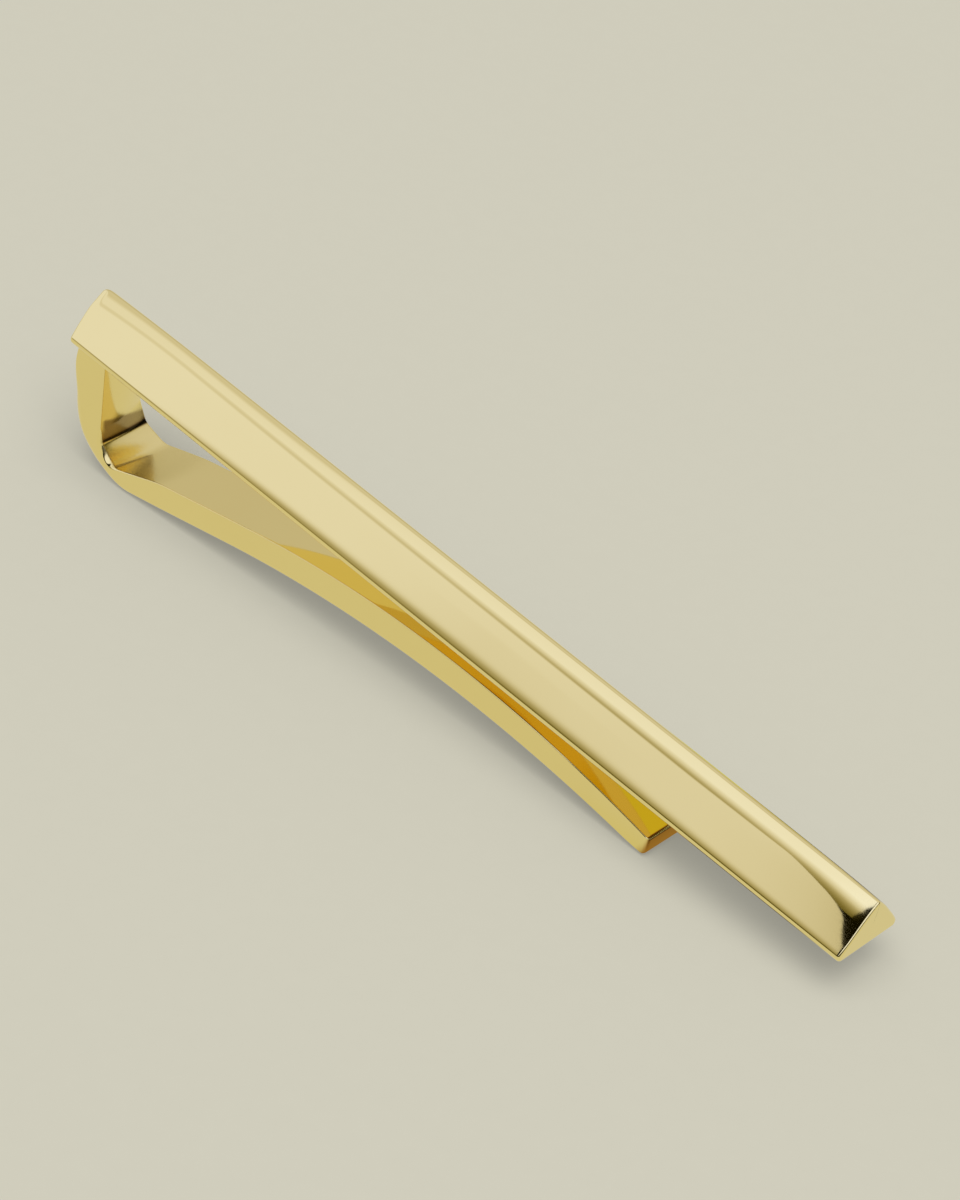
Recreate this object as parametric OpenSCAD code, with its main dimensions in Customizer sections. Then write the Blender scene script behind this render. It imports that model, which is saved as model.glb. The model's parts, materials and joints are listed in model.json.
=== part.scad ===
// Slide tie clip: a solid ridged front bar with a bent spring strip brazed under one end.
// Every piece is drawn in the bar's own frame, where X runs along the bar from the bend end,
// Y runs across it from its middle and Z is up from its flat back. The module at_rest then lays
// the clip down as it rests on a table, on the strip's bend and on the strip's tip.

/* [Front bar] */
// Length of the bar from end to end
bar_len = 55; // [50:0.5:64]
// Width of the bar over its two long rounded edges
bar_w = 4.35; // [4.2:0.05:6]
// Height of the bar from its flat back to its ridge
bar_h = 2.95; // [2.2:0.05:4]
// Rounding along the ridge
ridge_r = 0.2; // [0.1:0.02:0.4]
// Rounding along the two long edges of the back
edge_r = 0.28; // [0.15:0.01:0.32]
// Length at each end over which the ridge runs off
runoff_len = 5; // [3:0.5:8]
// Drop of the ridge at each end
runoff_drop = 0.16; // [0.05:0.01:0.3]
// Rounding of the ridge's corner above the bend
bend_end_r = 0.5; // [0.3:0.05:0.8]
// Rounding of the ridge's corner at the free end
free_end_r = 0.15; // [0.1:0.01:0.4]
// Rounding of the bar's four corners, seen from above
plan_r = 0.25; // [0.15:0.05:0.6]

/* [Spring strip] */
// Width of the strip
strip_w = 3.5; // [2.6:0.05:3.6]
// Distance of the strip's leg from the bar's end
leg_inset = 0.6; // [0.3:0.05:1.5]
// Thickness of the upright leg
leg_t = 1.7; // [1.3:0.05:1.9]
// Outer radius of the bend
bend_out_r = 3.2; // [2.6:0.05:3.4]
// Inner radius of the bend
bend_in_r = 0.8; // [0.6:0.05:1.1]
// Slope of the arm, in degrees, where it leaves the bend
root_angle = 14.5; // [13.5:0.1:15]
// Distance of the arm's inner crest from the bar's end
crest_x = 30.5; // [29:0.1:32]
// Gap between the arm's inner crest and the bar's back
crest_gap = 0.95; // [0.7:0.05:1.5]
// Thickness of the arm at its crest
crest_t = 1.66; // [1.5:0.02:1.9]
// Distance along the bar from the inner crest to the outer one
crest_lag = 1.3; // [0.6:0.1:1.6]
// Radius of the arm's inner face, which looks at the bar
arm_in_r = 66; // [64:0.5:72]
// Radius of the arm's outer face
arm_out_r = 76; // [74:0.5:80]
// Distance of the arm's tip from the bar's end at the bend
tip_x = 42.8; // [40:0.1:46]

/* [Braze] */
// Thickness of the braze between the leg and the bar's back
braze_t = 0.12; // [0.08:0.01:0.2]
// Width of the braze that shows round the leg
braze_rim = 0.12; // [0.05:0.01:0.14]
// Radius of the braze's fillet inside the corner
braze_r = 0.4; // [0.2:0.05:0.7]

/* [Hidden] */
$fn = 96;

// Overrun of every cutting shape past what it cuts
over = 1;
// Depth by which two surfaces that would only touch run past each other, so that they cross
lap = 0.0001;

// Bar section: centres of the three rounded edges and the slope of the two faces
ridge_cz = bar_h - ridge_r;
edge_cy = bar_w / 2 - edge_r;
edge_cz = edge_r;
centre_gap = norm([edge_cy, ridge_cz - edge_cz]);
face_angle = atan2(ridge_cz - edge_cz, edge_cy) - asin((edge_r - ridge_r) / centre_gap);

// Ridge line: the large arc at each end, which meets the straight ridge without a step
runoff_r = runoff_len * runoff_len / (2 * runoff_drop) + runoff_drop / 2;
runoff_cz = bar_h - runoff_r + lap;

// Height of the centre of a ridge corner of radius r
function corner_z(r) = runoff_cz + sqrt(pow(runoff_r - r, 2) - pow(runoff_len - r, 2)) + lap;
// Distance from the end at which such a corner meets the large arc
function corner_x(r) = runoff_len - (runoff_len - r) * runoff_r / (runoff_r - r);

// Arm faces: each is a straight slope from the bend, then an arc over its crest
in_crest_z = -crest_gap;
out_crest_x = crest_x + crest_lag;
out_crest_z = -crest_gap - crest_t;

// Height of an arm face's straight slope, carried on to the distance x
function slope_z(x, cx, cz, r) =
    cz - r + r * cos(root_angle) + (x - cx + r * sin(root_angle)) * tan(root_angle);
// Height of an arm face's arc at the distance x
function arc_z(x, cx, cz, r) = cz - r + sqrt(r * r - (x - cx) * (x - cx));

// Centre of the bend's outer round, which touches the leg's outside and the arm's outer slope
bend_cx = leg_inset + bend_out_r;
bend_cz = slope_z(bend_cx, out_crest_x, out_crest_z, arm_out_r) + bend_out_r / cos(root_angle);

// Depth under the bar that every cutting shape of the strip reaches
strip_floor = bend_cz - bend_out_r - over;

// Lowest point of the tip, and the tilt at which the bend and the tip both meet the table
tip_low_z = arc_z(tip_x, out_crest_x, out_crest_z, arm_out_r);
tip_run = tip_x - bend_cx;
tip_rise = tip_low_z - bend_cz;
rest_tilt = atan2(tip_rise, tip_run) + asin(bend_out_r / norm([tip_run, tip_rise]));

// Place of a point of the bar's frame once the clip lies tilted
function rest_x(x, z) = x * cos(rest_tilt) + z * sin(rest_tilt);
function rest_z(x, z) = -x * sin(rest_tilt) + z * cos(rest_tilt);

// The clip's reach along X, and the table's height, before the clip is set on its origin
reach_min = min(0, rest_x(bend_cx, bend_cz) - bend_out_r);
reach_max = rest_x(bar_len - free_end_r, corner_z(free_end_r)) + free_end_r;
table_z = rest_z(bend_cx, bend_cz) - bend_out_r;

// Hinge line of the strip's flex: the leg's outer top edge, under the braze
echo(rest_tilt = rest_tilt, face_angle = face_angle,
     hinge = [rest_x(leg_inset, -braze_t) - (reach_min + reach_max) / 2,
              rest_z(leg_inset, -braze_t) - table_z],
     back_middle = [rest_x(bar_len / 2, 0) - (reach_min + reach_max) / 2,
                    rest_z(bar_len / 2, 0) - table_z],
     crest = [rest_x(crest_x, in_crest_z) - (reach_min + reach_max) / 2,
              rest_z(crest_x, in_crest_z) - table_z]);

// Lays the clip on the table, with the origin under the middle of its bounding box
module at_rest() {
    translate([-(reach_min + reach_max) / 2, 0, -table_z])
        rotate([0, rest_tilt, 0])
            children();
}

// A block from x0 to x1 and from z0 to z1, of width w, centred across the bar
module block(x0, x1, z0, z1, w) {
    translate([x0, -w / 2, z0])
        cube([x1 - x0, w, z1 - z0]);
}

// A round bar of radius r and width w, lying across the clip
module roller(x, z, r, w) {
    translate([x, w / 2, z])
        rotate([90, 0, 0])
            cylinder(r = r, h = w, $fn = 180);
}

// The bar's triangular section with its three edges rounded
module bar_section() {
    s = sin(face_angle);
    c = cos(face_angle);
    edge_in = edge_r - lap;
    ridge_in = ridge_r - lap;
    polygon([
        [-edge_cy, 0],
        [edge_cy, 0],
        [edge_cy + edge_in * s, edge_cz + edge_in * c],
        [ridge_in * s, ridge_cz + ridge_in * c],
        [-ridge_in * s, ridge_cz + ridge_in * c],
        [-edge_cy - edge_in * s, edge_cz + edge_in * c]
    ]);
    translate([0, ridge_cz]) circle(r = ridge_r);
    for (side = [-1, 1])
        translate([side * edge_cy, edge_cz]) circle(r = edge_r);
}

// Side outline of one end of the bar, from its end to the straight ridge, for a corner of radius r
module end_outline(r, w) {
    block(0, runoff_len, -over, corner_z(r), w);
    roller(r, corner_z(r), r, w);
    intersection() {
        roller(runoff_len, runoff_cz, runoff_r, w);
        block(corner_x(r), runoff_len, -over, bar_h + over, w);
    }
}

// Outline of the bar seen from above, with its corners rounded
module plan_outline() {
    half = bar_w / 2 + lap;
    low = -lap;
    high = bar_len + lap;
    block(low + plan_r, high - plan_r, -over, bar_h + over, 2 * half);
    block(low, high, -over, bar_h + over, 2 * (half - plan_r));
    for (x = [low + plan_r, high - plan_r], side = [-1, 1])
        translate([x, side * (half - plan_r), -over])
            cylinder(r = plan_r, h = bar_h + 2 * over);
}

// The solid front bar
module front_bar() {
    wide = bar_w + 2 * over;
    color([0.86, 0.79, 0.56])
        at_rest()
            intersection() {
                translate([-over, 0, 0])
                    rotate([90, 0, 90])
                        linear_extrude(bar_len + 2 * over) bar_section();
                union() {
                    end_outline(bend_end_r, wide);
                    block(runoff_len, bar_len - runoff_len, -over, bar_h + over, wide);
                    translate([bar_len, 0, 0]) mirror([1, 0, 0]) end_outline(free_end_r, wide);
                }
                plan_outline();
            }
}

// Everything inside one outline of the hairpin, up to top_z: the leg's line at x0, a round corner,
// the arm face's slope and its arc as far as x1
module hairpin(x0, x1, cx, cz, r, corner_r, top_z, w) {
    s = sin(root_angle);
    c = cos(root_angle);
    join_x = cx - r * s;
    round_x = x0 + corner_r;
    round_z = slope_z(round_x, cx, cz, r) + corner_r / c;
    difference() {
        translate([0, w / 2, 0])
            rotate([90, 0, 0])
                linear_extrude(w) {
                    polygon([
                        [x0, top_z],
                        [x0, round_z],
                        [round_x + (corner_r - lap) * s, round_z - (corner_r - lap) * c],
                        [join_x + lap * s, slope_z(join_x, cx, cz, r) - lap * c],
                        [x1, strip_floor],
                        [x1, top_z]
                    ]);
                    translate([round_x, round_z]) circle(r = corner_r, $fn = 180);
                }
        roller(cx, cz - r, r, w + 2 * over);
    }
}

// The spring strip: leg, bend and arm, bent from one piece
module spring_strip() {
    color([0.83, 0.68, 0.36])
        at_rest()
            difference() {
                hairpin(leg_inset, tip_x, out_crest_x, out_crest_z, arm_out_r, bend_out_r,
                        -braze_t, strip_w);
                hairpin(leg_inset + leg_t, tip_x + over, crest_x, in_crest_z, arm_in_r, bend_in_r,
                        over, strip_w + 2 * over);
            }
}

// The braze: a thin pad between the leg and the bar's back, with a fillet inside the corner
module braze_joint() {
    pad_w = strip_w + 2 * braze_rim;
    inner_x = leg_inset + leg_t;
    color([0.80, 0.66, 0.38])
        at_rest() {
            block(leg_inset - braze_rim, inner_x + braze_r, -braze_t, 0, pad_w);
            difference() {
                block(inner_x, inner_x + braze_r, -braze_t - braze_r, -braze_t, strip_w);
                roller(inner_x + braze_r, -braze_t - braze_r, braze_r, strip_w + 2 * over);
            }
        }
}

front_bar();
braze_joint();
spring_strip();
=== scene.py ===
"""Slide tie clip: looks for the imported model.

Lengths are in millimetres in the bar's own frame, where X runs along the bar from the bend end, Y across it
from its middle and Z up from its flat back, until to_row() places them in the row's frame in metres.
"""
import json
import math

import bpy
import numpy as np
from mathutils import Matrix, Vector


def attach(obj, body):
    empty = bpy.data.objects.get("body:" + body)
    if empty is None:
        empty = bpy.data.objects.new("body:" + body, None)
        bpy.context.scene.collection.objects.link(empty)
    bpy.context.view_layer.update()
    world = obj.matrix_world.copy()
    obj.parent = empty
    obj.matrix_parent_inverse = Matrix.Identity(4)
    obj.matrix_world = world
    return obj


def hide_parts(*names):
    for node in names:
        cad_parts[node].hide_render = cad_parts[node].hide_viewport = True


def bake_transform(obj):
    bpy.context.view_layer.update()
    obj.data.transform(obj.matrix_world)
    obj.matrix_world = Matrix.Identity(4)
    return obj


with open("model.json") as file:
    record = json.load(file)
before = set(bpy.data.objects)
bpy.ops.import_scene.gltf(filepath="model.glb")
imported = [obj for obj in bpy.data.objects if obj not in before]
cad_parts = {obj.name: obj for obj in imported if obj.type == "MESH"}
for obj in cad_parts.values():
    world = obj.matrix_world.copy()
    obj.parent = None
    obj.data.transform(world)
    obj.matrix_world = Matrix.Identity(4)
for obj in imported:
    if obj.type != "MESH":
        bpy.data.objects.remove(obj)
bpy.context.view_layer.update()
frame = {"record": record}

# Sizes, as in the part's source
BAR_LEN, BAR_W, BAR_H = 55.0, 4.35, 2.95
RIDGE_R, EDGE_R = 0.2, 0.28
STRIP_W = 3.5
ROOT_ANGLE = math.radians(14.5)
CREST_X, CREST_GAP, CREST_T, CREST_LAG = 30.5, 0.95, 1.66, 1.3
ARM_IN_R, ARM_OUT_R = 66.0, 76.0
TIP_X = 42.8
BRAZE_T = 0.12

# The bar's frame inside the row's frame, from the mount in the middle of the bar's back
mounts = {m["name"]: m for m in frame["record"]["mounts"]}
back_point = mounts["bar_back"]["pos_m"]
back_axis = mounts["bar_back"]["axis"]
TILT = math.atan2(-back_axis[0], -back_axis[2])


def to_row(points):
    """Points in the bar's frame, in mm, to the row's frame, in m."""
    p = np.asarray(points, float).reshape(-1, 3)
    run = p[:, 0] - BAR_LEN / 2
    c, s = math.cos(TILT), math.sin(TILT)
    return np.stack(
        [
            back_point[0] + (run * c + p[:, 2] * s) / 1000,
            p[:, 1] / 1000,
            back_point[2] + (-run * s + p[:, 2] * c) / 1000,
        ],
        1,
    )


def smooth(low, high, x):
    """A soft step from 0 at low to 1 at high."""
    t = np.clip((np.asarray(x, float) - low) / (high - low), 0, 1)
    return t * t * (3 - 2 * t)


def add_mesh(name, points, faces, material):
    mesh = bpy.data.meshes.new(name)
    mesh.from_pydata([tuple(p) for p in points], [], faces)
    mesh.validate()
    mesh.polygons.foreach_set("use_smooth", [True] * len(mesh.polygons))
    mesh.materials.append(material)
    obj = bpy.data.objects.new(name, mesh)
    bpy.context.scene.collection.objects.link(obj)
    return obj


CAP_SHARE = 0.985


def inset(loop):
    """The same loop drawn in a little, so that a cap inside it stays flat to its rim."""
    middle = loop.mean(0)
    return middle + (loop - middle) * CAP_SHARE


def loft(loops):
    """Points and faces of a closed tube through loops of equal length, with a flat cap at each end."""
    loops = [inset(loops[0])] + list(loops) + [inset(loops[-1])]
    count, ring = len(loops), len(loops[0])
    points = np.concatenate(loops + [loops[0].mean(0)[None], loops[-1].mean(0)[None]])
    faces = []
    for i in range(count - 1):
        for j in range(ring):
            k = (j + 1) % ring
            faces.append((i * ring + j, i * ring + k, (i + 1) * ring + k, (i + 1) * ring + j))
    first, last = count * ring, count * ring + 1
    top = (count - 1) * ring
    for j in range(ring):
        k = (j + 1) % ring
        faces.append((first, k, j))
        faces.append((last, top + j, top + k))
    return points, faces


# Materials
class Nodes:
    """The nodes of a new material. Each input of a node is a value or another node's output."""

    def __init__(self, name):
        self.material = bpy.data.materials.new(name)
        self.material.use_nodes = True
        self.tree = self.material.node_tree
        self.tree.nodes.clear()

    def add(self, kind, inputs=(), **settings):
        """A node with its settings, then its inputs by name or number."""
        node = self.tree.nodes.new(kind)
        for name, value in settings.items():
            setattr(node, name, value)
        for name, value in dict(inputs).items():
            socket = node.inputs[name]
            if isinstance(value, bpy.types.NodeSocket):
                self.tree.links.new(value, socket)
            else:
                socket.default_value = (*value, 1) if socket.type == "RGBA" else value
        return node

    def noise(self, place, scale, detail, roughness=0.5):
        inputs = {"Vector": place, "Scale": scale, "Detail": detail, "Roughness": roughness}
        return self.add("ShaderNodeTexNoise", inputs).outputs["Fac"]

    def maths(self, operation, *values):
        return self.add("ShaderNodeMath", enumerate(values), operation=operation).outputs[0]

    def mix(self, factor, a, b):
        """Colour a where the factor is 0 and colour b where it is 1."""
        inputs = {"Factor": factor, "A": a, "B": b}
        return self.add("ShaderNodeMix", inputs, data_type="RGBA").outputs["Result"]

    def scaled(self, value, from_low, from_high, to_low=0, to_high=1, kind="LINEAR"):
        """The value's place between two marks, carried over to two others."""
        inputs = {
            "Value": value,
            "From Min": from_low,
            "From Max": from_high,
            "To Min": to_low,
            "To Max": to_high,
        }
        return self.add("ShaderNodeMapRange", inputs, interpolation_type=kind).outputs["Result"]

    def ramp(self, value, low, high):
        """A soft step from 0 at low to 1 at high."""
        return self.scaled(value, low, high, kind="SMOOTHSTEP")

    def bump(self, height, strength, distance, normal=None):
        inputs = {"Height": height, "Strength": strength, "Distance": distance}
        if normal is not None:
            inputs["Normal"] = normal
        return self.add("ShaderNodeBump", inputs).outputs[0]

    def attribute(self, name):
        return self.add("ShaderNodeAttribute", attribute_name=name).outputs["Fac"]

    def surface(self, shader):
        self.add("ShaderNodeOutputMaterial", {"Surface": shader.outputs[0]})
        return self.material


# Detail of the gold: sizes of the noises per metre, and how far the polishing lines are drawn out along X
DRIFT_SCALE, LINE_SCALE, PIT_SCALE, MARK_SCALE = 160, 9000, 5200, 5000
LINE_STRETCH = 0.035
TOOLED_MATT = 0.16
# Painted shade in the bend's crease: brown first, then blackened from this level on
CREASE_SHADE_BROWN, CREASE_SHADE_BLACK, CREASE_BLACK_FROM = (0.16, 0.07, 0.02), (0.035, 0.025, 0.008), 0.82


def gold(name, base, deep, roughness, wear):
    """Polished gold plate with a slow drift of tint, fine lines along the piece and small pits.

    Where the mesh says "tooled" it is matt with small dents; its crease-shade layer paints shade, brown,
    then black.
    """
    nodes = Nodes(name)
    place = nodes.add("ShaderNodeTexCoord").outputs["Object"]
    turned = nodes.add("ShaderNodeMapping", {"Vector": place, "Rotation": (0, -TILT, 0)}).outputs[0]
    drawn_out = nodes.add("ShaderNodeMapping", {"Vector": turned, "Scale": (LINE_STRETCH, 1, 1)})
    drift = nodes.noise(turned, DRIFT_SCALE, 3)
    lines = nodes.noise(drawn_out.outputs[0], LINE_SCALE, 4, 0.6)
    pits = nodes.noise(turned, PIT_SCALE, 2)
    marks = nodes.noise(turned, MARK_SCALE, 3)
    tooled, crease_shade = nodes.attribute("tooled"), nodes.attribute("crease_shade")

    tint = nodes.mix(drift, base, deep)
    # Painted shade from the crease-shade layer: the tint goes brown, then blackened
    tint = nodes.mix(crease_shade, tint, CREASE_SHADE_BROWN)
    tint = nodes.mix(nodes.scaled(crease_shade, CREASE_BLACK_FROM, 1), tint, CREASE_SHADE_BLACK)

    rough = nodes.scaled(drift, 0.3, 0.7, roughness * 0.8, roughness * 1.25)
    rough = nodes.maths("MULTIPLY_ADD", lines, wear, rough)
    rough = nodes.maths("MULTIPLY_ADD", tooled, TOOLED_MATT, rough)

    normal = nodes.bump(lines, 0.02, 1.5e-6)
    normal = nodes.bump(pits, 0.02, 2e-6, normal)
    normal = nodes.bump(nodes.maths("MULTIPLY", marks, tooled), 0.1, 4e-5, normal)

    inputs = {"Base Color": tint, "Roughness": rough, "Normal": normal, "Metallic": 1}
    return nodes.surface(nodes.add("ShaderNodeBsdfPrincipled", inputs))


bar_gold = gold("bar_gold", (0.96, 0.817, 0.37), (0.95, 0.80, 0.35), 0.018, 0.02)
strip_gold = gold("strip_gold", (0.95, 0.80, 0.345), (0.93, 0.77, 0.315), 0.035, 0.04)
braze_gold = gold("braze_gold", (0.85, 0.69, 0.33), (0.80, 0.62, 0.27), 0.16, 0.10)

# The ridged bar. Points on the near half of its section: the back, the edge, the face and the ridge.
BACK_STEPS, EDGE_STEPS, FACE_STEPS, RIDGE_STEPS = 6, 18, 44, 12
FACE_CROWDING = 0.55
# Its faces roll off near the ridge, and near the foot towards the bend end
FLATTEST, STEEPEST = math.radians(45), math.radians(60)
TOP_ROLL_FROM, TOP_ROLL, TOP_ROLL_POWER = 0.48, math.radians(11), 1.8
FOOT_ROLL_TO, FOOT_ROLL, FOOT_ROLL_X = 0.20, math.radians(5), 18
# Its stations: in the middle, on the run at each end and on the rounding of the end's rim
MIDDLE_STEPS, END_STEPS, RIM_STEPS = 66, 56, 9
END_RUN, END_CROWDING = 8, 1.7
# The rounding of an end's rim, and of its foot
END_R, FOOT_END_R = 0.13, 0.20
# The bend end: the ridge's rounded corner, its drop and the end face's lean
RIDGE_END_R, RIDGE_END_SHARE = 0.55, 0.7
BEND_DROP, BEND_LEAN = 0.155, 0.09
# The free end: the faces roll off by an angle that grows from foot to ridge, both in degrees
FREE_END = BAR_LEN - 0.02
FREE_ROLL_LEN, FREE_ROLL, FREE_ROLL_GAIN = 7.0, 0.62, 1.55


def face_angles(flat, foot_roll, s):
    """Angle of the face's normal from straight up, at the share s of the face's width, from the foot."""
    foot = foot_roll * np.clip(1 - s / FOOT_ROLL_TO, 0, 1) ** 2
    top = TOP_ROLL * np.clip((s - TOP_ROLL_FROM) / (1 - TOP_ROLL_FROM), 0, 1) ** TOP_ROLL_POWER
    return flat + foot - top


def bar_section(foot_roll):
    """The near half of the section from the middle of the back to the ridge: points and normals in Y, Z."""
    u = np.arange(FACE_STEPS + 1) / FACE_STEPS
    s = u - np.sin(2 * math.pi * u) / (2 * math.pi) * FACE_CROWDING
    edge_y, ridge_z = BAR_W / 2 - EDGE_R, BAR_H - RIDGE_R

    def run(flat):
        a = face_angles(flat, foot_roll, s)
        mid = face_angles(flat, foot_roll, (s[1:] + s[:-1]) / 2)
        steps = np.diff(s)
        along = np.concatenate([[0], np.cumsum(np.cos(mid) * steps)])
        rise = np.concatenate([[0], np.cumsum(np.sin(mid) * steps)])
        wide = edge_y + EDGE_R * math.sin(a[0]) - RIDGE_R * math.sin(a[-1])
        tall = ridge_z + RIDGE_R * math.cos(a[-1]) - EDGE_R - EDGE_R * math.cos(a[0])
        return a, along, rise, wide, tall

    low, high = FLATTEST, STEEPEST
    for _ in range(40):
        flat = (low + high) / 2
        a, along, rise, wide, tall = run(flat)
        if rise[-1] * wide > along[-1] * tall:
            high = flat
        else:
            low = flat
    length = wide / along[-1]
    start = np.array([-edge_y - EDGE_R * math.sin(a[0]), EDGE_R + EDGE_R * math.cos(a[0])])
    face = start + length * np.stack([along, rise], 1)

    back = np.stack([np.linspace(0, -edge_y, BACK_STEPS + 1)[:-1], np.zeros(BACK_STEPS)], 1)
    round_a = np.linspace(math.pi, a[0], EDGE_STEPS)[:-1]
    edge = np.stack([-edge_y - EDGE_R * np.sin(round_a), EDGE_R + EDGE_R * np.cos(round_a)], 1)
    ridge_a = np.linspace(a[-1], 0, RIDGE_STEPS)[1:]
    ridge = np.stack([-RIDGE_R * np.sin(ridge_a), ridge_z + RIDGE_R * np.cos(ridge_a)], 1)
    angles = np.concatenate([np.full(BACK_STEPS, math.pi), round_a, a, ridge_a])
    points = np.concatenate([back, edge, face, ridge])
    return points, np.stack([-np.sin(angles), np.cos(angles)], 1)


def corner_drop(r, left):
    """How far a round corner of radius r has drawn in at the distance left from the end."""
    return r - math.sqrt(max(0.0, r * r - max(0.0, r - left) ** 2))


def end_distances():
    """Distances from an end at which the bar has a station, with the end's rounding finely cut."""
    turn = np.linspace(0, math.pi / 2, RIM_STEPS)
    rim = END_R * (1 - np.cos(turn))
    near = END_R + (END_RUN - END_R) * np.linspace(0, 1, END_STEPS)[1:] ** END_CROWDING
    return np.concatenate([rim, near])


def bar_loops():
    """Loops round the bar from the bend end to the free end."""
    d = end_distances()
    middle = np.linspace(END_RUN, BAR_LEN - END_RUN, MIDDLE_STEPS)[1:-1]
    stations = [(x, "bend") for x in d] + [(x, "plain") for x in middle]
    stations += [(FREE_END - x, "free") for x in d[::-1]]
    loops = []
    for x, part in stations:
        points, normals = bar_section(FOOT_ROLL * float(smooth(0, FOOT_ROLL_X, x)))
        height = points[:, 1] / BAR_H
        sink, drop, out = np.zeros((3, len(points)))
        gone = x if part == "bend" else FREE_END - x
        if part == "bend":
            drop = BEND_DROP * height**2 * (1 - x / END_RUN) ** 2
            drop += corner_drop(RIDGE_END_R, x) * smooth(0.6, 1.0, height) * RIDGE_END_SHARE
            out = -BEND_LEAN * height * (1 - x / END_RUN) ** 2
        elif part == "free":
            roll = np.radians(FREE_ROLL + FREE_ROLL_GAIN * height) * np.clip(height / 0.05, 0, 1)
            sink += roll * FREE_ROLL_LEN / 3 * np.clip(1 - gone / FREE_ROLL_LEN, 0, 1) ** 3
        if part != "plain":
            sink[normals[:, 1] < -0.999] = 0
            low_side = np.abs(normals[:, 0]) * (1 - smooth(0.1, 0.4, height))
            r = END_R + (FOOT_END_R - END_R) * low_side
            sink += r - np.sqrt(r**2 - np.clip(r - gone, 0, r) ** 2)
        near = points - normals * sink[:, None]
        near = np.column_stack([x + out, near[:, 0], near[:, 1] - drop])
        far = near[1:-1][::-1] * [1, -1, 1]
        loops.append(np.concatenate([near, far]))
    return loops


points, faces = loft(bar_loops())
bar = add_mesh("ridged_bar", to_row(points), faces, bar_gold)

# The spring strip. Its bend is softened by hand work: the outer edges are buffed round, and the inner face
# is twisted, so that its near edge turns tighter and further out than its far edge.
LEG_TOP = 0.04 - BRAZE_T
STRIP_SHIFT, CROWN = -0.1, 0.24
# Outer face: the leg's distance from the bar's end at its top and foot, its bow and the buffed round
WORN_LEG, WORN_OUT_R, WORN_BOW = (0.39, 0.36), 3.9, 0.12
# Inner face: the leg, then the knee, the crease and the heel as x, z and radius, then a line to the arm
NEAR_LEG_X, NEAR_BENDS = 2.5, ((2.78, -4.25, 0.5), (2.9, -5.2, 0.8), (3.5, -6.4, 0.9))
FAR_LEG_X, FAR_BENDS = 2.05, ((2.12, -4.3, 0.4), (2.86, -5.36, 0.7), (4.45, -5.8, 1.6))
FOOT_JOIN_X = 7.4
# Roundings of the section: outer edges, then near and far inner edges, each plain and what wear adds
OUT_EDGE_R, OUT_EDGE_WORN = 0.12, 0.58
IN_EDGE_R, IN_EDGES_WORN = 0.06, (0.25, 0.1)
# The tip: its corners seen from above, its lower and upper rounding and the lift of its underside
TIP_PLAN_R, TIP_LOW_R, TIP_TOP_R = 0.22, 0.36, 0.14
TIP_LIFT, TIP_LIFT_LEN = 0.12, 1.8
# Height at which the painted shade inside the bend starts, on the near and the far edge, and its level
CREASE_SHADE_NEAR_Z, CREASE_SHADE_FAR_Z, CREASE_SHADE_LEVEL = -3.6, -4.65, 0.80
# Stations along the leg, the arm and the tip, and along each of the bend's straights and turns
LEG_STEPS, ARM_STEPS, TIP_STEPS = 44, 170, 14
RUN_STEPS, TURN_STEPS = (LEG_STEPS, 12, 8), (8, 14, 22)
BEND_STEPS = sum(RUN_STEPS[1:]) + sum(TURN_STEPS)
# Points round its section: on each rounding, on a side and on a face, and how close they come to a rounding
ROUND_STEPS, SIDE_STEPS, WIDE_STEPS, CLOSE = 10, 5, 12, 0.012
ARM_FROM_X = 4.5


def slope_z(x, cx, cz, r):
    """Height of an arm face's straight slope at the distance x."""
    rise = (x - cx + r * math.sin(ROOT_ANGLE)) * math.tan(ROOT_ANGLE)
    return cz - r + r * math.cos(ROOT_ANGLE) + rise


def arm_z(x, cx, cz, r):
    """Height of an arm face: its straight slope, then its arc over the crest."""
    arc = cz - r + np.sqrt(np.maximum(r * r - (x - cx) ** 2, 0))
    return np.where(x < cx - r * math.sin(ROOT_ANGLE), slope_z(x, cx, cz, r), arc)


def eased(path):
    """The same path with its sudden turns spread over a few stations, but for its top and its tip."""
    kernel = np.array([1, 3, 5, 6, 5, 3, 1]) / 24
    soft = path.copy()
    for k in range(2):
        soft[3:-3, k] = np.convolve(path[:, k], kernel, "valid")
    return np.concatenate([path[:3], soft[3:-TIP_STEPS], path[-TIP_STEPS:]])


def outer_edge(face, stops):
    """The strip's outer line: a leg with a slight bow, the buffed round and the arm."""
    leg, r = WORN_LEG, WORN_OUT_R
    cx = leg[1] + r
    cz = slope_z(cx, *face) + r / math.cos(ROOT_ANGLE)
    a = math.pi + (math.pi / 2 + ROOT_ANGLE) * np.linspace(0, 1, BEND_STEPS + 1)[:-1]
    bend = np.stack([cx + r * np.cos(a), cz + r * np.sin(a)], 1)
    f = np.linspace(0, 1, LEG_STEPS + 1)[:-1]
    bow = WORN_BOW * np.sin(math.pi * f)
    down = np.stack([leg[0] + (leg[1] - leg[0]) * f - bow, LEG_TOP + (cz - LEG_TOP) * f], 1)
    start = cx + r * math.sin(ROOT_ANGLE)
    x = start + (TIP_X - start) * stops
    return eased(np.concatenate([down, bend, np.stack([x, arm_z(x, *face)], 1)]))


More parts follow.
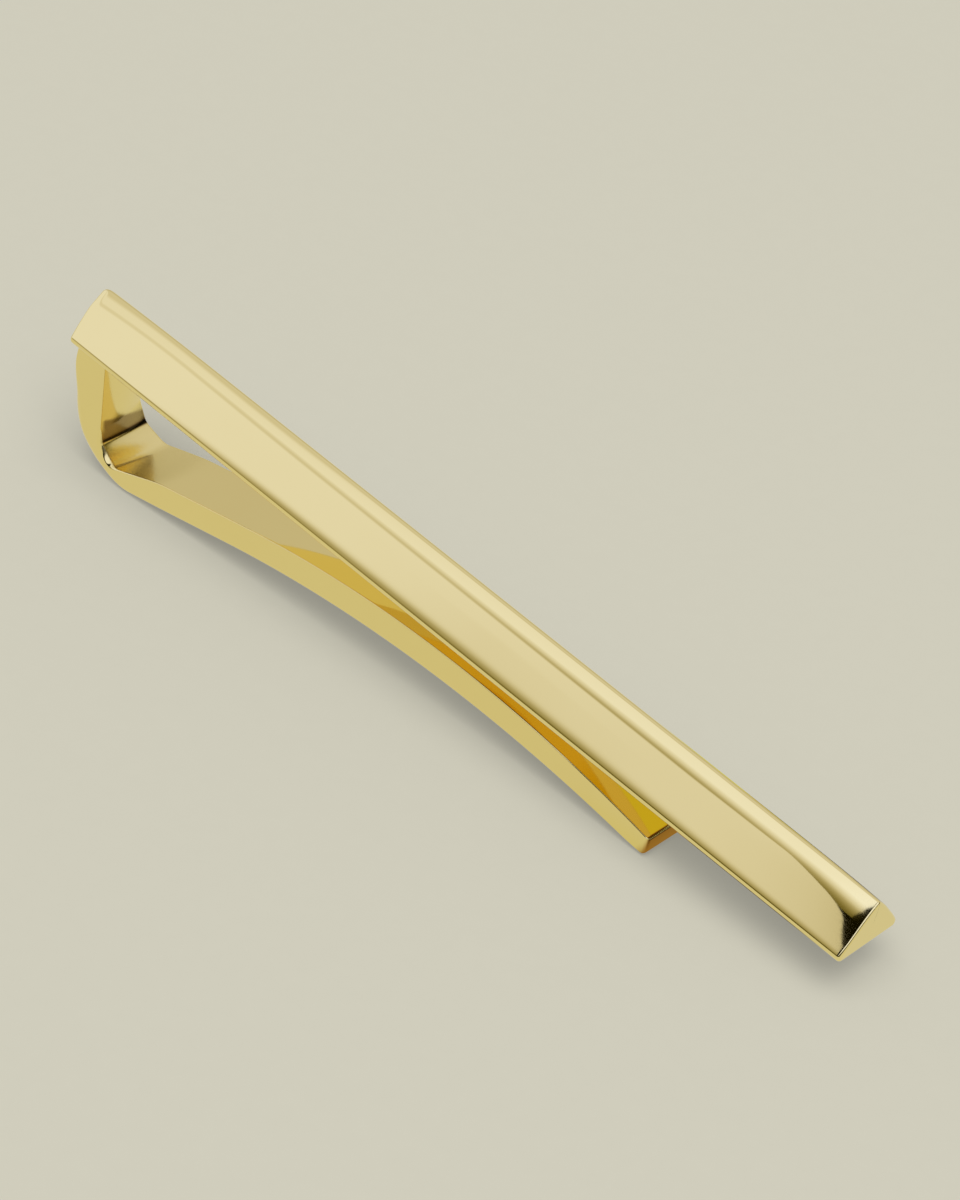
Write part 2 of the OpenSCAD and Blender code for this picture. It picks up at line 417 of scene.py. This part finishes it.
def inner_edge(leg_x, bends, face, stops):
    """One edge of the inner face: the leg, the three rounded bends, the line to the arm and the arm."""
    join = np.array([FOOT_JOIN_X, float(arm_z(FOOT_JOIN_X, *face))])
    here, path = np.array([leg_x, LEG_TOP]), []
    after = [np.array(b[:2]) for b in bends[1:]] + [join]
    for (x, z, r), then, run, turn in zip(bends, after, RUN_STEPS, TURN_STEPS):
        corner = np.array([x, z])
        u = (corner - here) / np.linalg.norm(corner - here)
        v = (then - corner) / np.linalg.norm(then - corner)
        angle = math.acos(float(u @ v))
        inward = (v - u * (u @ v)) / math.sin(angle)
        start = corner - u * r * math.tan(angle / 2)
        path.append(here + (start - here) * np.linspace(0, 1, run + 1)[:-1, None])
        a = angle * np.linspace(0, 1, turn + 1)[:-1, None]
        path.append(start + r * (np.sin(a) * u + (1 - np.cos(a)) * inward))
        here = corner + v * r * math.tan(angle / 2)
    x = here[0] + (TIP_X - here[0]) * stops
    line = here[1] + (x - here[0]) * (join[1] - here[1]) / (join[0] - here[0])
    path.append(np.stack([x, np.where(x < FOOT_JOIN_X, line, arm_z(x, *face))], 1))
    return eased(np.concatenate(path))


def arm_stops():
    """Shares of the arm's run at which it has a station, close together where the tip is rounded."""
    run = TIP_X - ARM_FROM_X
    tip = 1 - TIP_LOW_R / run * (1 - np.sin(np.linspace(0, math.pi / 2, TIP_STEPS)))
    return np.concatenate([np.linspace(0, tip[0], ARM_STEPS + 1)[:-1], tip])


def strip_section(half, thick, r_out, r_in, low, high):
    """Points round one section: across the strip, and as a share of its thickness from the outer face."""
    corners = (
        (half - r_out, low + r_out, r_out, -math.pi / 2),
        (half - r_in[1], high - r_in[1], r_in[1], 0),
        (-half + r_in[0], high - r_in[0], r_in[0], math.pi / 2),
        (-half + r_out, low + r_out, r_out, math.pi),
    )
    rounds = []
    for y, u, r, start in corners:
        a = start + np.linspace(0, math.pi / 2, ROUND_STEPS)
        rounds.append(np.stack([y + r * np.cos(a), u + r * np.sin(a)], 1))
    ring = []
    for i in range(4):
        ring.append(rounds[i])
        here, there = rounds[i][-1], rounds[(i + 1) % 4][0]
        steps = SIDE_STEPS if i % 2 == 0 else WIDE_STEPS
        f = np.concatenate([[CLOSE], np.linspace(0, 1, steps + 1)[1:-1], [1 - CLOSE]])
        ring.append(here + (there - here) * f[:, None])
    ring = np.concatenate(ring)
    return ring[:, 0], ring[:, 1] / thick


def strip_loops():
    """Loops round the strip from the leg's top to the tip, and per loop the marks that its gold reads:
    tooling and painted shade.
    """
    inner = (CREST_X, -CREST_GAP, ARM_IN_R)
    outer = (CREST_X + CREST_LAG, -CREST_GAP - CREST_T, ARM_OUT_R)
    stops = arm_stops()
    back = outer_edge(outer, stops)
    near = inner_edge(NEAR_LEG_X, NEAR_BENDS, inner, stops)
    far = inner_edge(FAR_LEG_X, FAR_BENDS, inner, stops)
    # How far along the strip a station is: 0 to 1 on the leg, to 2 round the bend and to 3 on the arm
    stage = np.concatenate([
        np.arange(LEG_STEPS) / LEG_STEPS,
        1 + np.arange(BEND_STEPS) / BEND_STEPS,
        2 + stops,
    ])
    worn = smooth(0.2, 1.1, stage) * (1 - smooth(1.65, 2.1, stage))
    worn_in = smooth(1.0, 1.4, stage) * (1 - smooth(1.8, 2.08, stage))
    shift = STRIP_SHIFT * (1 - smooth(1.2, 2.15, stage))
    crown = CROWN * (1 - smooth(1.0, 1.55, stage))
    marked = (0.4 + 0.6 * smooth(0.75, 1.05, stage)) * (1 - smooth(2.03, 2.13, stage))
    crease = smooth(1.26, 1.34, stage)
    above_crease = 1 - smooth(1.41, 1.47, stage)
    loops, tooled, crease_shade = [], [], []
    for i, (o, n, f) in enumerate(zip(back, near, far)):
        middle = (n + f) / 2 - o
        thick = math.hypot(*middle)
        left = TIP_X - o[0]
        half = STRIP_W / 2 - corner_drop(TIP_PLAN_R, left)
        low = corner_drop(TIP_LOW_R, left) + TIP_LIFT * max(0.0, 1 - left / TIP_LIFT_LEN) ** 2
        high = thick - corner_drop(TIP_TOP_R, left)
        r_out = OUT_EDGE_R + OUT_EDGE_WORN * worn[i]
        r_in = [IN_EDGE_R + added * worn_in[i] for added in IN_EDGES_WORN]
        y, share = strip_section(half, thick, r_out, r_in, low, high)
        across = y / STRIP_W + 0.5
        side = across[:, None]
        swell = crown[i] * (1 - (2 * side - 1) ** 2) * middle / thick
        face = n + (f - n) * side + swell
        xz = o + (face - o) * share[:, None]
        loops.append(np.column_stack([xz[:, 0], y + shift[i], xz[:, 1]]))

        inside = smooth(0.9, 0.98, share)
        tooled.append(marked[i] * inside)
        # Painted shade on the inner face: brown below a slanted line through the bend, blackened at the
        # crease
        below = CREASE_SHADE_NEAR_Z + (CREASE_SHADE_FAR_Z - CREASE_SHADE_NEAR_Z) * across - xz[:, 1]
        level = CREASE_SHADE_LEVEL * smooth(0, 0.12, below) * (1 - 0.25 * across * (1 - crease[i]))
        level += (1 - CREASE_SHADE_LEVEL) * crease[i]
        crease_shade.append(level * inside * smooth(0.02, 0.08, across) * above_crease[i])
    return loops, {"tooled": tooled, "crease_shade": crease_shade}


strip_rings, strip_tooling_and_shade = strip_loops()
points, faces = loft(strip_rings)
strip = add_mesh("spring_strip_bent", to_row(points), faces, strip_gold)
# Layers that the gold reads: where the strip is tooled, and the painted shade in its bend's crease
for name, rows in strip_tooling_and_shade.items():
    marks = np.concatenate([rows[0] * 0] + rows + [rows[-1] * 0, [0, 0]])
    layer = strip.data.attributes.new(name, "FLOAT", "POINT")
    layer.data.foreach_set("value", marks.astype(np.float32))

# The braze bead round the leg's top: its reach, what the corner adds, its height and its hidden depth
BEAD_REACH, BEAD_CORNER = 0.08, 0.26
BEAD_Z, BEAD_HIDDEN, BEAD_STEPS = -0.02, 0.1, 9


def braze_loops():
    """A bead with a hollow face between the leg and the bar's back, widest inside the corner."""
    leg = strip_rings[0][:, :2]
    along = np.roll(leg, -1, 0) - np.roll(leg, 1, 0)
    out = np.stack([along[:, 1], -along[:, 0]], 1)
    out /= np.linalg.norm(out, axis=1)[:, None]
    if np.sum(out * (leg - leg.mean(0))) < 0:
        out = -out
    turn = np.arctan2(leg[:, 1] - leg[:, 1].mean(), leg[:, 0] - leg[:, 0].mean())
    reach = BEAD_REACH + BEAD_CORNER * np.clip(out[:, 0], 0, 1) ** 2
    reach *= 1 + 0.10 * np.sin(5 * turn + 1) + 0.06 * np.sin(9 * turn + 2)
    hidden = leg - out * BEAD_HIDDEN
    loops = [np.column_stack([hidden, BEAD_Z - reach])]
    for b in np.linspace(0, math.pi / 2, BEAD_STEPS):
        step = leg + out * (reach * (1 - math.cos(b)))[:, None]
        loops.append(np.column_stack([step, BEAD_Z - reach * (1 - math.sin(b))]))
    loops.append(np.column_stack([leg + out * reach[:, None], np.zeros(len(leg))]))
    loops.append(np.column_stack([hidden, np.zeros(len(leg))]))
    return loops


points, faces = loft(braze_loops())
braze = add_mesh("braze_bead", to_row(points), faces, braze_gold)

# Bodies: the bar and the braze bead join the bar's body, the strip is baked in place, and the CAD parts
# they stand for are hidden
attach(bar, "bar")
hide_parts("front_bar")
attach(braze, "bar")
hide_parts("braze_joint")
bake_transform(strip)
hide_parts("spring_strip")

# The floor: plain pale paper, partly self-lit. What the gold mirrors of it is a separate picture: plain
# paper, with a painted reflection of the gold arm, yellow, under the arm and a painted shadow, brown, past
# the tip. Distances on the floor are in metres.
FLOOR_REACH = 4.0
FLOOR_COLOUR, FLOOR_GLOW, FIBRE_SCALE = (0.631, 0.610, 0.503), 0.43, 900
# Painted reflection of the gold arm, then the painted shadow past the tip and its darkest part
PAINTED_ARM_REFLECTION = (0.58, 0.53, 0.085)
PAINTED_TIP_SHADOW, PAINTED_DEEP_TIP_SHADOW = (0.30, 0.165, 0.045), (0.06, 0.03, 0.01)
MIRRORED_GLOW = 1.05


def pale_paper():
    nodes = Nodes("pale_paper")
    place = nodes.add("ShaderNodeTexCoord").outputs["Object"]
    fibre = nodes.noise(place, FIBRE_SCALE, 4)
    paper = nodes.mix(fibre, [c * 0.99 for c in FLOOR_COLOUR], [c * 1.01 for c in FLOOR_COLOUR])
    matte = nodes.add("ShaderNodeBsdfDiffuse", {"Color": paper}).outputs[0]
    own_glow = nodes.add("ShaderNodeEmission", {"Color": paper}).outputs[0]
    seen = nodes.add("ShaderNodeMixShader", {0: FLOOR_GLOW, 1: matte, 2: own_glow}).outputs[0]

    split = nodes.add("ShaderNodeSeparateXYZ", {"Vector": place})
    at_x, at_y = split.outputs["X"], split.outputs["Y"]

    def between(value, low, rise, fall, high):
        """1 from rise to fall, and 0 below low and above high."""
        gone = nodes.maths("SUBTRACT", 1.0, nodes.ramp(value, fall, high))
        return nodes.maths("MULTIPLY", nodes.ramp(value, low, rise), gone)

    # Painted reflection of the gold arm under the arm, and past the tip a painted shadow warmed by painted
    # gold light
    arm_reflection_mask = between(at_x, 0.007, 0.011, 0.017, 0.020)
    arm_reflection_mask = nodes.maths("MULTIPLY", arm_reflection_mask, nodes.ramp(at_y, -0.004, 0.002))
    tip_shadow_mask = nodes.maths(
        "MULTIPLY",
        between(at_x, 0.0138, 0.0147, 0.022, 0.026),
        between(at_y, -0.0032, -0.0018, 0.006, 0.010),
    )
    brown = nodes.mix(nodes.ramp(at_x, 0.0150, 0.0164), PAINTED_TIP_SHADOW, PAINTED_DEEP_TIP_SHADOW)
    picture = nodes.mix(tip_shadow_mask, nodes.mix(arm_reflection_mask, paper, PAINTED_ARM_REFLECTION), brown)

    # The picture is only for the mirrored ray that the camera sees: it throws no light back on the floor
    ray = nodes.add("ShaderNodeLightPath")
    direct = nodes.maths("LESS_THAN", ray.outputs["Diffuse Depth"], 0.5)
    strength = nodes.maths("MULTIPLY", direct, MIRRORED_GLOW)
    mirrored = nodes.add("ShaderNodeEmission", {"Color": picture, "Strength": strength}).outputs[0]
    both = nodes.add("ShaderNodeMixShader", {0: ray.outputs["Is Glossy Ray"], 1: seen, 2: mirrored})
    material = nodes.surface(both)
    material.cycles.emission_sampling = "NONE"
    return material


floor_corners = [(-1, -1, 0), (1, -1, 0), (1, 1, 0), (-1, 1, 0)]
floor_points = [(FLOOR_REACH * x, FLOOR_REACH * y, z) for x, y, z in floor_corners]
floor = add_mesh("floor", floor_points, [(0, 1, 2, 3)], pale_paper())

# The studio that the gold mirrors: a tent, a soft box and a white card. Angles are in degrees: azimuth 0
# is in front, -Y, and 90 is +X. Its levels run from 0, black, to 1, white. Its distances are in metres.
TENT_R, BOX_R, CARD_R = 24.0, 23.5, 23.0
DARK = 0.006
BOX_LEFT, BOX_FOOT, BOX_TOP = -45, 29.3, 60
CARD_LEFT, CARD_RIGHT, CARD_FOOT = -110, -17, 5


def lit(level):
    """Colour of the studio's light at a level: the dimmer, the warmer."""
    return np.stack([level, level * (0.8 + 0.28 * level), 1.62 * level**2], -1)


def soft_box(az, el):
    """Level of the soft box overhead in front, which dims towards its lower edge and to the left."""
    shift = np.interp(az, [-35, -31, -28, -25.5, -20, -17], [1.9, 1.7, 1.15, 0.3, -0.7, 0.0])
    cap = np.interp(az, [-38, -35, -32, -25.5, -20, -17], [0.80, 0.81, 0.83, 0.87, 0.90, 0.945])
    cap = cap * (1 - 0.18 * smooth(40, 44, el) * (1 - smooth(-37, -34, az)))
    fall = np.interp(
        el + shift,
        [26.5, 27.9, 28.7, 30, 31.5, 33.4, 35.5, 37.9, 40.5, 52, 62, 72, 90],
        [0.012, 0.07, 0.10, 0.18, 0.29, 0.44, 0.68, 0.84, 0.95, 0.95, 0.88, 0.76, 0.70],
    )
    return np.minimum(fall, cap)


def studio(az, el):
    """Level of the tent in a direction, with the soft box and the card's low light in front."""
    left_wall = np.interp(el, [-1, 8, 22, 40, 60, 90], [0.42, 0.48, 0.58, 0.60, 0.68, 0.70])
    right_wall = np.interp(
        el, [-1, 2, 6, 12, 22, 40, 60, 90], [0.05, 0.10, 0.40, 0.52, 0.58, 0.60, 0.68, 0.70]
    )
    back_wall = np.interp(el, [-1, 10, 18, 28, 40, 60, 90], [0.01, 0.02, 0.18, 0.50, 0.60, 0.68, 0.70])
    behind = 1 - smooth(32, 45, np.abs(az - 130))
    wall = np.where(az < 0, left_wall, right_wall)
    wall = wall * (1 - behind) + back_wall * behind

    box = soft_box(az, el) * (1 - smooth(-20.5, -18.5, az) * (1 - smooth(55, 70, el)))
    low_left = np.interp(az, [-34, -29, -24, -19, -12], [0.45, 0.30, 0.17, 0.10, DARK])
    low_left = DARK + (low_left - DARK) * (1 - smooth(14, 20, el))
    low_right = 0.9 * smooth(1, 6, az) * (1 - smooth(80, 95, az))
    low_right = low_right * smooth(13, 17, el) * (1 - smooth(66, 76, el))
    front = np.maximum(np.maximum(box, low_left), low_right)
    ahead = smooth(-115, -95, az) * (1 - smooth(100, 116, az))
    return wall * (1 - ahead) + front * ahead


def box_side(el):
    """Azimuth of the soft box's right edge."""
    return np.interp(
        el,
        [29.3, 29.5, 29.7, 31.6, 35.2, 43.7, 60],
        [-17.0, -16.57, -16.24, -16.06, -15.83, -16.0, -17.0],
    )


def card_side(el):
    """Azimuth of the card's right edge."""
    return np.interp(
        el, [28.3, 29.15, 29.8, 30.5, 31.3, 33.7], [-16.7, -17.2, -17.6, -18.1, -18.9, -20.9]
    )


def card_top(az):
    return np.interp(az, [-35, -31.5, -23, -20.9], [33.1, 32.6, 32.4, 33.5])


def card_blur(az):
    return np.interp(az, [-35, -29, -22, -19.5], [3.0, 2.2, 1.2, 0.3])


def card(az, el):
    """Level of the white card on the left: soft along its top, and it fades at its foot."""
    white = np.interp(
        az,
        [-34, -29, -26, -23.5, -21.5, -18.5, -16.5],
        [0.82, 0.80, 0.77, 0.745, 0.735, 0.66, 0.59],
    )
    foot = np.interp(
        az,
        [-60, -45, -34, -29.3, -26, -23.5, -20.5, -17],
        [4, 14, 20.6, 23.4, 25.6, 25.1, 23.0, 23.5],
    )
    level = white * np.interp(el - foot, [-4.5, -2.5, 0, 1.5], [0.55, 0.72, 0.93, 1.0])
    low = np.interp(az, [-34, -29, -24, -19], [0.45, 0.30, 0.17, 0.10])
    level = low + (level - low) * smooth(foot - 11, foot - 4, el)
    top, blur = card_top(az), card_blur(az)
    return level + (soft_box(az, el) - level) * smooth(top - blur / 2, top + blur / 2, el)


def add_glow(name, az, el, radius, levels, material):
    """A sheet of the studio on a grid of directions, painted with its levels; only reflections see it."""
    a, e = np.radians(az), np.radians(el)
    points = np.stack([np.sin(a) * np.cos(e), -np.cos(a) * np.cos(e), np.sin(e)], -1)
    points = (radius * points).reshape(-1, 3)
    rows, columns = az.shape
    faces = []
    for i in range(rows - 1):
        for j in range(columns - 1):
            k = i * columns + j
            faces.append((k, k + columns, k + columns + 1, k + 1))
    sheet = add_mesh(name, points, faces, material)
    colours = np.ones((len(points), 4), np.float32)
    colours[:, :3] = lit(levels.ravel())
    layer = sheet.data.color_attributes.new("glow", "FLOAT_COLOR", "POINT")
    layer.data.foreach_set("color", colours.ravel())
    sheet.visible_camera = sheet.visible_diffuse = sheet.visible_shadow = False
    sheet.visible_transmission = sheet.visible_volume_scatter = False


def tent_cards():
    """The sheets' glow, dark to rays that come from the floor, so that no gold light falls on it."""
    nodes = Nodes("tent_cards")
    paint = nodes.add("ShaderNodeVertexColor", layer_name="glow").outputs["Color"]
    ray = nodes.add("ShaderNodeLightPath")
    direct = nodes.maths("LESS_THAN", ray.outputs["Diffuse Depth"], 0.5)
    material = nodes.surface(nodes.add("ShaderNodeEmission", {"Color": paint, "Strength": direct}))
    material.cycles.emission_sampling = "NONE"
    return material


def add_studio():
    """The tent round the clip, and nearer to it the soft box and the white card, with clean edges."""
    material = tent_cards()
    az, el = np.meshgrid(
        np.concatenate([np.arange(-180, -50, 2), np.arange(-50, 0, 0.5), np.arange(0, 181, 2)]),
        np.concatenate([np.arange(-1, 18, 1), np.arange(18, 45, 0.4), np.arange(45, 91, 2.5)]),
    )
    add_glow("tent", az, el, TENT_R, studio(az, el), material)

    rise, run = np.meshgrid(np.linspace(0, 1, 90), np.linspace(0, 1, 80), indexing="ij")
    el = BOX_FOOT + rise**1.5 * (BOX_TOP - BOX_FOOT)
    az = BOX_LEFT + run * (box_side(el) - BOX_LEFT)
    add_glow("soft_box", az, el, BOX_R, soft_box(az, el), material)

    rows = np.concatenate([np.linspace(0, 0.88, 50)[:-1], np.linspace(0.88, 1, 40)])
    rise, run = np.meshgrid(rows, 1 - np.linspace(1, 0, 140) ** 1.5, indexing="ij")
    az = CARD_LEFT + run * (CARD_RIGHT - CARD_LEFT)
    for _ in range(12):
        el = CARD_FOOT + rise * (card_top(az) + card_blur(az) / 2 - CARD_FOOT)
        az = CARD_LEFT + run * (card_side(el) - CARD_LEFT)
    add_glow("card", az, el, CARD_R, card(az, el), material)


add_studio()

# The light on the floor: a cool fill from all round and two soft lamps
FILL_COLOUR, FILL = (0.96, 1.0, 1.12, 1), 0.25
LAMP_COLOUR, LAMP_AWAY = (1.012, 1.0, 0.962), 4.0

world = bpy.data.worlds.new("studio")
bpy.context.scene.world = world
world.use_nodes = True
sky = world.node_tree.nodes["Background"]
sky.inputs["Color"].default_value = FILL_COLOUR
sky.inputs["Strength"].default_value = FILL
world.cycles_visibility.glossy = False


def add_soft_light(name, azimuth, elevation, size, irradiance):
    """A square soft light that gives that much on a facing surface, as a share of a white sky."""
    a, e = math.radians(azimuth), math.radians(elevation)
    back = Vector((math.sin(a) * math.cos(e), -math.cos(a) * math.cos(e), math.sin(e)))
    light = bpy.data.lights.new(name, "AREA")
    light.shape = "SQUARE"
    light.size = size
    light.color = LAMP_COLOUR
    light.energy = irradiance * math.pi * math.pi * LAMP_AWAY**2
    lamp = bpy.data.objects.new(name, light)
    bpy.context.scene.collection.objects.link(lamp)
    lamp.location = back * LAMP_AWAY
    lamp.rotation_mode = "QUATERNION"
    lamp.rotation_quaternion = back.to_track_quat("Z", "Y")
    lamp.visible_glossy = False
    lamp.visible_camera = False


add_soft_light("overhead", 40, 73, 3.8, 0.883)
add_soft_light("key", 50, 54, 2.6, 0.14)

# The camera, in metres in the row's frame
CAMERA_AT = Vector((0.104867, -0.123556, 0.133412))
LOOK_AT = Vector((-0.000459, 0.001714, 0.005))
CAMERA_ROLL = math.radians(-6.759)
FOCAL, SENSOR = 123.53, 36

camera_data = bpy.data.cameras.new("camera")
camera_data.sensor_fit = "AUTO"
camera_data.sensor_width = SENSOR
camera_data.lens = FOCAL
camera_data.clip_start, camera_data.clip_end = 0.01, 20
camera = bpy.data.objects.new("camera", camera_data)
bpy.context.scene.collection.objects.link(camera)
ahead = (LOOK_AT - CAMERA_AT).normalized()
level_right = ahead.cross(Vector((0, 0, 1))).normalized()
level_up = level_right.cross(ahead)
up = level_up * math.cos(CAMERA_ROLL) + level_right * math.sin(CAMERA_ROLL)
right = ahead.cross(up)
turn = Matrix((right, up, -ahead)).transposed()
camera.matrix_world = Matrix.Translation(CAMERA_AT) @ turn.to_4x4()
bpy.context.scene.camera = camera
bpy.context.scene.view_settings.view_transform = "Standard"
